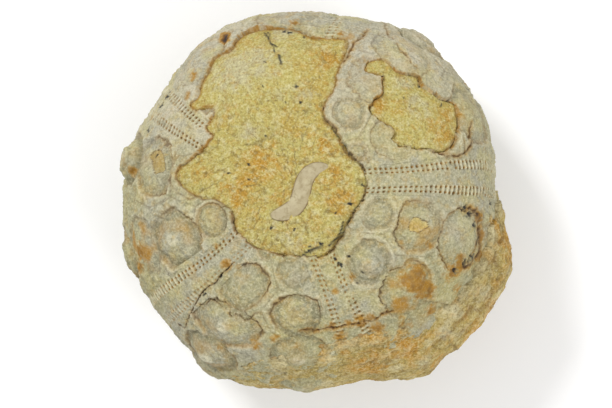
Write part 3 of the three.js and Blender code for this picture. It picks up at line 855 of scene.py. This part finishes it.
# ---- The crust outside ----
# The crust's upper edge, an arc at each angle, and how thick it grows over the ambitus at each angle.
CRUST_EDGE = {
    240: 90, 245: 62, 249: 42, 254: 35, 260: 33, 268: 32, 276: 32, 284: 31, 294: 31, 304: 33, 310: 35,
    318: 36, 324: 38, 332: 40.5, 338: 40, 346: 40.5, 353: 40, 360: 49, 368: 60, 376: 90,
}
CRUST_THICKNESS = {
    240: 0, 252: 0.3, 288: 0.5, 294: 2.2, 300: 3.4, 306: 4.0, 312: 3.4, 318: 3.6, 324: 3.9, 330: 4.2,
    336: 4.7, 342: 4.7, 348: 3.3, 354: 1.5, 360: 0.8, 376: 0,
}
CRUST_THICKENS = (37, 49)            # from its edge's film to its whole thickness, as arcs
CRUST_THINS = (62, 80)
CRUST_FILM = 0.3
CRUST_FINE_END = 56                 # the arc down to which its rows are closely spaced
# Ochre clouds on the crust, then grey-cream ones, as (angle, arc, radius in mm, strength).
CRUST_OCHRE = [
    (348, 47, 4.5, 1.1), (340, 54, 5.0, 1.0), (330, 50, 4.5, 1.1), (322, 49, 4.0, 1.0),
    (310, 50, 4.0, 0.9), (304, 38.5, 4.0, 1.3), (292, 40, 4.5, 1.3), (298, 33, 2.5, 0.9),
    (286, 34, 2.0, 0.6), (352, 42, 2.5, 1.0), (330, 60, 8, 0.8), (300, 60, 6, 0.7), (318, 58, 6, 0.9),
    (272, 36, 1.5, 0.6),
]
CRUST_CREAM = [
    (324, 40, 3.5, 1.0), (332, 44, 3.0, 0.9), (341, 48, 2.5, 0.8), (316, 43, 3.0, 0.8),
    (306, 45, 3.0, 0.7), (262, 38, 4.0, 0.7), (276, 44, 4.0, 0.7), (350, 51, 3.0, 0.5),
]


def crust_relief(angle, arc, spots):
    """Relief and marks of the crust: a film near its edge that thickens over the ambitus, broken into long
    lumps and streaks that run round the flank, pitted and grainy."""
    ragged = angle + 5 * noise(spots, 5, 88) + 3 * noise(spots, 1.6, 87)
    edge = np.interp(ragged, list(CRUST_EDGE), list(CRUST_EDGE.values()))
    thick = np.interp(angle, list(CRUST_THICKNESS), list(CRUST_THICKNESS.values()))
    body = thick * ramp(arc, *CRUST_THICKENS) * fall(arc, *CRUST_THINS)
    across = np.radians(angle) * TEST_RADIUS
    warp = 0.9 * noise(spots, 3, 94)
    nearest, second, tint = cells(across * 0.45 + warp, arc + warp, 3.4, 95)
    _, _, chip = cells(across * 0.6 + 0.5 * warp, arc, 1.4, 96)
    lumpy = ramp(body, 0.2, 2.0)
    along = np.stack([across / 4, arc + 0.12 * across, 0 * arc], -1)
    streak = fractal(along, 1.6, 3, 93)
    pits = ramp(noise(spots, 1.0, 97), 0.3, 0.75)
    height = CRUST_FILM + body + lumpy * (0.7 * (tint - 0.5) - 0.25 * hill(second - nearest, 0.07))
    height += 0.2 * streak + 0.16 * (chip - 0.5) + 0.3 * fractal(spots, 5, 2, 92) * (0.3 + lumpy)
    height += 0.12 * fractal(spots, 1.4, 3, 98) + 0.08 * noise(spots, 0.5, 99) - 0.2 * pits
    inside = arc - edge + 1.0 * noise(spots, 3, 91) + 0.6 * (chip - 0.5) + 0.3 * noise(spots, 1, 90)
    height = GONE + (height - GONE) * ramp(inside, -0.3, 0.5)

    spot = flat_chart(angle, arc)
    groove = lumpy * hill(second - nearest, 0.05)
    line = hill(inside - 0.2, 0.3) * ramp(noise(spots, 1.5, 89), -0.6, 0.1) * fall(angle, 312, 322)
    cream = np.maximum(stains(spot, spots, CRUST_CREAM), 0.8 * hill(inside, 2.5))
    # Painted light on the streaks: darker in their troughs and near black in the pits there, which is
    # painted shade, and paler on their ridges, which is painted highlight.
    return height, dict(ochre=stains(spot, spots, CRUST_OCHRE), cream=cream,
                        rust=np.maximum(0.8 * line, 0.5 * groove),
                        dark=0.6 * pits * ramp(-streak, 0.2, 0.8),
                        painted_hollow_shade=ramp(-streak, 0.1, 0.6), wear_and_painted_highlight=ramp(streak, 0.1, 0.6))


def limestone_crust():
    """The crust's slab, from above its edge to well under the flank."""
    rows = np.concatenate([np.arange(29, CRUST_FINE_END, 0.28), np.arange(CRUST_FINE_END, 86, 0.55)])
    columns = np.linspace(min(CRUST_EDGE), max(CRUST_EDGE), 300)
    angle, arc = np.meshgrid(columns, rows)
    spots = on_ball(angle, arc, 0)
    relief, marks = crust_relief(angle, arc, spots)
    return slab("limestone_crust", angle, arc, relief + pressed(angle, arc), marks)


# ---- The broken scrap of shell on the filling ----
# Its middle line on the flat chart, in mm, with the half width at each point.
SCRAP_LINE = [(-4.2, -5.8, 0.5), (-2.9, -5.7, 1.2), (-0.9, -5.3, 1.6), (1.0, -3.9, 1.7), (1.7, -1.3, 1.7),
              (2.2, 0.9, 1.6), (3.6, 2.4, 1.4), (5.2, 2.9, 1.0), (6.6, 2.9, 0.5)]
SCRAP_SECTIONS, SCRAP_POINTS = 90, 48       # along it and round it
SCRAP_BEND = 13                     # how many sections each bend is smoothed over
SHOULDER = 0.6                      # superellipse exponent: 1 is round and 0 is square
SCRAP_LIES_AT = -0.55               # its middle, against the ball's surface
SCRAP_HALF_THICKNESS = 0.45


def square_shouldered(wave):
    """A sine or cosine pushed outwards, towards a square section."""
    return np.sign(wave) * np.abs(wave) ** SHOULDER


def shell_scrap():
    """A bent sliver that lies on the filling: a flattened section, square-shouldered by a superellipse,
    carried along its middle line."""
    line = np.array(SCRAP_LINE)
    t = np.linspace(0, len(line) - 1, SCRAP_SECTIONS)
    nth = np.arange(len(line))
    even = np.ones(SCRAP_BEND) / SCRAP_BEND
    columns = [np.pad(np.interp(t, nth, column), SCRAP_BEND // 2, mode="edge") for column in line.T]
    x, y, wide = (np.convolve(column, even, "valid") for column in columns)
    ends = np.sqrt(1 - (2 * t / t[-1] - 1) ** 8).clip(0.05)
    run = np.stack([np.gradient(x), np.gradient(y)], -1)
    run /= np.linalg.norm(run, axis=1, keepdims=True)
    side = np.stack([-run[:, 1], run[:, 0]], -1)
    turn = np.linspace(0, 2 * math.pi, SCRAP_POINTS, endpoint=False)
    out, rise = square_shouldered(np.cos(turn)), square_shouldered(np.sin(turn))
    spot = np.stack([x, y], -1)[:, None] + (side * (wide * ends)[:, None])[:, None] * out[None, :, None]
    arc = np.linalg.norm(spot, axis=-1)
    angle = np.degrees(np.arctan2(spot[..., 1], spot[..., 0]))
    base = on_ball(angle, arc, 0)
    ragged = 0.1 * noise(base, 1.2, 101) * np.abs(out)
    relief = SCRAP_LIES_AT + SCRAP_HALF_THICKNESS * rise[None] * ends[:, None] + ragged
    relief = relief + 0.04 * noise(base, 0.6, 103)
    loops = on_ball(angle, arc, relief)
    points = capped(loops)
    rim = np.broadcast_to(ramp(np.abs(out), 0.8, 1.0), arc.shape)
    marks = {"rim": np.concatenate([rim.ravel(), [1, 1]])}
    return closed_mesh("shell_scrap", points, marks, *tube_faces(*loops.shape[:2]))


# ---- Materials ----
def linear(hex_colour):
    """sRGB hex to the linear colour that a shader socket takes."""
    srgb = np.array([int(hex_colour[i:i + 2], 16) for i in (1, 3, 5)]) / 255
    return (*np.where(srgb <= 0.04045, srgb / 12.92, ((srgb + 0.055) / 1.055) ** 2.4), 1.0)


def add(tree, kind, settings=(), links=()):
    """Adds a shader node, sets its properties and sockets, and links sockets to what they come from."""
    node = tree.nodes.new("ShaderNode" + kind)
    for key, value in dict(settings).items():
        if isinstance(key, int) or key in node.inputs:
            node.inputs[key].default_value = value
        else:
            setattr(node, key, value)
    for socket, source in dict(links).items():
        tree.links.new(source, node.inputs[socket])
    return node


MIX_FACTOR, MIX_UNDER, MIX_OVER, MIX_RESULT = 0, 6, 7, 2     # the colour sockets of a Mix node


def layer(tree, under, colour, mask, strength, base):
    """Lays a colour over what is under it, or over the base if nothing is, where the mask is 1, up to a
    strength."""
    scaled = add(tree, "Math", {"operation": "MULTIPLY", 1: strength, "use_clamp": True}, {0: mask})
    mix = add(tree, "Mix", {"data_type": "RGBA", MIX_UNDER: linear(base), MIX_OVER: linear(colour)},
              {MIX_FACTOR: scaled.outputs[0]})
    if under:
        tree.links.new(under, mix.inputs[MIX_UNDER])
    return mix.outputs[MIX_RESULT]


def mottle(tree, place, grain_mm, low, high, detail=4.0):
    """Soft-edged blotches about grain_mm across: noise spread from low to high onto 0 to 1."""
    settings = {"Scale": 0.5 / (grain_mm * METRES), "Detail": detail, "Roughness": 0.6}
    pattern = add(tree, "TexNoise", settings, {"Vector": place})
    spread = add(tree, "MapRange", {"From Min": low, "From Max": high}, {"Value": pattern.outputs[0]})
    return spread.outputs[0]


def product(tree, *values):
    """All the values multiplied together."""
    result = values[0]
    for value in values[1:]:
        result = add(tree, "Math", {"operation": "MULTIPLY"}, {0: result, 1: value}).outputs[0]
    return result


MARKS = ("ochre", "rust", "cream", "dark", "painted_hollow_shade", "wear_and_painted_highlight", "chip", "rim", "olive_painted_shade", "rosy_painted_light")

# Patterns of grain: the blotch size in mm, and the noise values where it starts to show and where it is
# full. The dark ones run downwards, so they pick out the troughs that the pale ones leave. Where a stone has
# a bump of the same size, they follow it: the dark ones are dirt and painted shade in its troughs, and the
# pale ones are wear and painted highlight on its tops. Real grain is finer than the smallest of these, which
# is the finest that shows.
GRAIN_DIRT_AND_SHADE, GRAIN_WEAR_AND_HIGHLIGHT = (0.4, 0.5, 0.32), (0.4, 0.5, 0.68)
FINE_GRAIN_DIRT_AND_SHADE, FINE_GRAIN_WEAR_AND_HIGHLIGHT = (0.18, 0.48, 0.3), (0.18, 0.52, 0.7)
BUMP_SPREAD = (0.3, 0.7)            # noise values at the foot and the top of a bump
CALCITE_IOR = 1.56                  # between its two real ones, 1.49 and 1.66
SOFT_SHINE = 0.3                    # specular level of a weathered, porous face
ROUGHNESS_SWING = 0.06              # how far the roughness strays either way, in blotches of this size:
ROUGHNESS_BLOTCH = 2.0


def stone(name, base, layers, roughness, bumps):
    """A matt stone: a base colour, colours laid over it through masks, and bumps, each of them (grain size,
    depth) in mm. Each layer is (colour, strength, mark or None, pattern or None): it shows where the mark
    and the pattern, given as (blotch size in mm, low, high), are both strong."""
    material = bpy.data.materials.new(name)
    material.use_nodes = True
    tree = material.node_tree
    tree.nodes.clear()
    place = add(tree, "TexCoord").outputs["Object"]
    marks = {key: add(tree, "Attribute", {"attribute_name": key}).outputs["Fac"] for key in MARKS}
    colour = None
    for over, strength, mark, pattern in layers:
        masks = [marks[mark]] if mark else []
        if pattern:
            masks.append(mottle(tree, place, *pattern))
        colour = layer(tree, colour, over, product(tree, *masks), strength, base)
    height = None
    for grain_mm, depth_mm in bumps:
        pattern = mottle(tree, place, grain_mm, *BUMP_SPREAD, detail=3.0)
        part = add(tree, "Math", {"operation": "MULTIPLY", 1: depth_mm}, {0: pattern}).outputs[0]
        height = part if height is None else add(tree, "Math", {}, {0: height, 1: part}).outputs[0]
    bump = add(tree, "Bump", {"Distance": METRES, "Strength": 1.0}, {"Height": height})
    patchy = mottle(tree, place, ROUGHNESS_BLOTCH, *BUMP_SPREAD)
    limits = {"To Min": roughness - ROUGHNESS_SWING, "To Max": roughness + ROUGHNESS_SWING}
    rough = add(tree, "MapRange", limits, {"Value": patchy})
    shader = add(tree, "BsdfPrincipled", {"IOR": CALCITE_IOR, "Specular IOR Level": SOFT_SHINE},
                 {"Base Color": colour, "Normal": bump.outputs[0], "Roughness": rough.outputs[0]})
    add(tree, "OutputMaterial", {}, {"Surface": shader.outputs[0]})
    return material


def weathered_calcite():
    """Calcite plates of the test, weathered matt: grey cream, with painted grey-green shade in its hollows,
    paler rises that are partly wear and partly painted highlight, painted shade towards the bottom and
    painted light towards the top, and iron ochre and manganese black soaked into pores and cracks."""
    return stone("weathered_calcite", "#A19C7B", [
        # Painted shade towards the bottom and painted light towards the top.
        ("#98936A", 0.85, "olive_painted_shade", (6, 0.25, 0.55)),
        ("#B4AC97", 0.8, "rosy_painted_light", (6, 0.25, 0.55)),
        ("#9C9988", 0.75, None, (7, 0.46, 0.6)),
        ("#AEA56F", 0.65, None, (3.2, 0.49, 0.62)),
        # Painted shade in the hollows, then paler rises that are partly wear and partly painted highlight.
        ("#797457", 0.75, "painted_hollow_shade", (2.5, 0.1, 0.4)),
        ("#C9C3A6", 0.85, "wear_and_painted_highlight", (1.2, 0.25, 0.45)),
        ("#A88C50", 0.4, None, (1.5, 0.57, 0.67)),
        ("#A98D45", 0.4, None, (0.7, 0.54, 0.66)),
        ("#BDA964", 0.95, "chip", (0.6, 0.1, 0.4)),
        ("#A88124", 1.0, "ochre", (0.7, 0.3, 0.5)),
        # Darker in the troughs of the 1.2 mm bumps: dirt and painted shade.
        ("#777257", 0.3, None, (1.2, 0.5, 0.3)),
        ("#696850", 0.35, None, GRAIN_DIRT_AND_SHADE),
        ("#C4BEA2", 0.3, None, GRAIN_WEAR_AND_HIGHLIGHT),
        ("#5C5A42", 0.45, None, FINE_GRAIN_DIRT_AND_SHADE),
        ("#D4CFB5", 0.4, None, FINE_GRAIN_WEAR_AND_HIGHLIGHT),
        ("#966810", 0.62, "ochre", None),
        ("#5E3D16", 0.95, "rust", None),
        ("#212225", 0.95, "dark", None),
    ], 0.8, [(1.2, 0.06), (0.4, 0.06), (0.18, 0.06)])


def yellow_limestone():
    """Fine-grained limestone of the filling: chalky yellow, mottled with cream and ochre, specked black."""
    return stone("yellow_limestone", "#AFA35D", [
        ("#A98B36", 0.6, None, (3.0, 0.5, 0.64)),
        ("#8F8B62", 0.3, None, (1.8, 0.5, 0.32)),
        ("#AC8228", 0.95, "ochre", (1.2, 0.3, 0.48)),
        ("#ABA37E", 0.95, "cream", (2, 0.15, 0.4)),
        ("#C3BB90", 0.5, None, (0.8, 0.52, 0.68)),
        ("#B0852B", 0.5, None, (0.7, 0.46, 0.32)),
        # Painted shade in the pits and along the flake edges.
        ("#7A6B3C", 0.8, "painted_hollow_shade", None),
        ("#94742F", 0.4, None, GRAIN_DIRT_AND_SHADE),
        # Paler on the tops of the 0.4 mm bumps: wear and painted highlight.
        ("#CCC694", 0.4, None, (0.4, 0.52, 0.7)),
        ("#685A33", 0.6, None, FINE_GRAIN_DIRT_AND_SHADE),
        # Paler on the tops of the 0.18 mm bumps: wear and painted highlight.
        ("#DCD7AE", 0.5, None, (0.18, 0.54, 0.72)),
        ("#80561E", 0.9, "rust", None),
        ("#1E1F22", 1.0, "dark", None),
    ], 0.88, [(1.0, 0.12), (0.4, 0.13), (0.18, 0.11)])


def ochre_crust_limestone():
    """Rough limestone crust, stained through with iron: ochre, with grey on its ledges, painted highlight on
    the ridges of its streaks and painted shade in their troughs and pits.
    """
    return stone("ochre_crust_limestone", "#AB9652", [
        ("#B0A887", 0.85, "cream", (3, 0.25, 0.5)),
        ("#B28528", 1.0, "ochre", (1.2, 0.2, 0.42)),
        # Painted highlight on the streaks' ridges, then painted shade in their troughs.
        ("#CBC095", 0.7, "wear_and_painted_highlight", (1.2, 0.35, 0.58)),
        ("#877847", 0.65, "painted_hollow_shade", (1.2, 0.35, 0.58)),
        ("#B08632", 0.7, None, (1.6, 0.52, 0.65)),
        ("#B07A18", 0.6, "ochre", (0.6, 0.45, 0.65)),
        # Darker in the troughs of the 1.4 mm bumps: dirt and painted shade.
        ("#7B6C44", 0.5, None, (1.4, 0.5, 0.32)),
        ("#6C5B34", 0.5, None, GRAIN_DIRT_AND_SHADE),
        ("#CBC19A", 0.4, None, GRAIN_WEAR_AND_HIGHLIGHT),
        ("#5B4B28", 0.55, None, FINE_GRAIN_DIRT_AND_SHADE),
        ("#DAD1AC", 0.4, None, FINE_GRAIN_WEAR_AND_HIGHLIGHT),
        ("#6A4216", 0.9, "rust", None),
        ("#2A2721", 0.9, "dark", None),
    ], 0.9, [(1.4, 0.14), (0.4, 0.12), (0.18, 0.08)])


def polished_shell():
    """Recrystallised calcite of the scrap: smoother than the limestone, drab cream, with a brown rim."""
    return stone("polished_shell", "#A19576", [
        ("#93855F", 0.7, None, (2.5, 0.44, 0.62)),
        # Paler on the tops of the 0.8 mm bumps: painted highlight.
        ("#B5AB8A", 0.6, None, (0.8, 0.5, 0.68)),
        ("#80724C", 0.6, None, GRAIN_DIRT_AND_SHADE),
        ("#6C5430", 0.9, "rim", (0.8, 0.2, 0.5)),
    ], 0.66, [(0.8, 0.05), (0.25, 0.04)])


# ---- Assembly ----
def put_in_scene(name, data):
    thing = bpy.data.objects.new(name, data)
    bpy.context.scene.collection.objects.link(thing)
    return thing


def place_piece(mesh, material):
    """Makes the object of a finished mesh: it rides with the stone and stands for part of its one node."""
    mesh.materials.append(material)
    piece = put_in_scene(mesh.name, mesh)
    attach(piece, "root")
    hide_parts("fossil_urchin")


calcite = weathered_calcite()
for number in range(5):
    place_piece(interambulacrum(number), calcite)
    place_piece(ambulacrum(number), calcite)
place_piece(limestone_filling(), yellow_limestone())
place_piece(limestone_crust(), ochre_crust_limestone())
place_piece(shell_scrap(), polished_shell())


# ---- Floor, light and camera, in metres ----
FLOOR_HALF_WIDTH = 1.5


def studio_floor():
    """A wide, flat, nearly white floor."""
    mesh = bpy.data.meshes.new("floor")
    half = FLOOR_HALF_WIDTH
    mesh.from_pydata([(-half, -half, 0), (half, -half, 0), (half, half, 0), (-half, half, 0)], [],
                     [(0, 1, 2, 3)])
    material = bpy.data.materials.new("white_paper")
    material.use_nodes = True
    shader = material.node_tree.nodes["Principled BSDF"]
    shader.inputs["Base Color"].default_value = linear("#F4F4F4")
    shader.inputs["Roughness"].default_value = 0.9
    mesh.materials.append(material)
    floor = put_in_scene("floor", mesh)


def soft_box(name, place, size, power):
    """A square light that faces the stone."""
    light = bpy.data.lights.new(name, "AREA")
    light.size = size
    light.energy = power
    lamp = put_in_scene(name, light)
    lamp.location = place
    lamp.rotation_euler = (-lamp.location).to_track_quat("-Z", "Y").to_euler()


def sky(strength):
    """Even white light from all round."""
    world = bpy.data.worlds.new("sky")
    world.use_nodes = True
    background = world.node_tree.nodes["Background"]
    background.inputs["Color"].default_value = (1, 1, 1, 1)
    background.inputs["Strength"].default_value = strength
    bpy.context.scene.world = world


VIEW_WIDTH = 0.1106                 # of the scene, across the picture at the ambitus
VIEW_CENTRE = (-0.00192, -0.00062)
CAMERA_HEIGHT = 1.2
AMBITUS_HEIGHT = 0.020
VIEW_END = 10


def camera_above():
    """A long lens looking straight down, so the outline is nearly that of a parallel view."""
    data = bpy.data.cameras.new("camera")
    data.lens = data.sensor_width * (CAMERA_HEIGHT - AMBITUS_HEIGHT) / VIEW_WIDTH
    data.clip_end = VIEW_END
    camera = put_in_scene("camera", data)
    camera.location = (*VIEW_CENTRE, CAMERA_HEIGHT)
    bpy.context.scene.camera = camera


studio_floor()
sky(strength=0.62)
soft_box("key_light", place=(-0.38, 0.42, 0.66), size=0.25, power=5.1)
soft_box("fill_light", place=(0.5, -0.35, 0.65), size=0.5, power=3.9)
camera_above()
bpy.context.scene.view_settings.view_transform = "Standard"
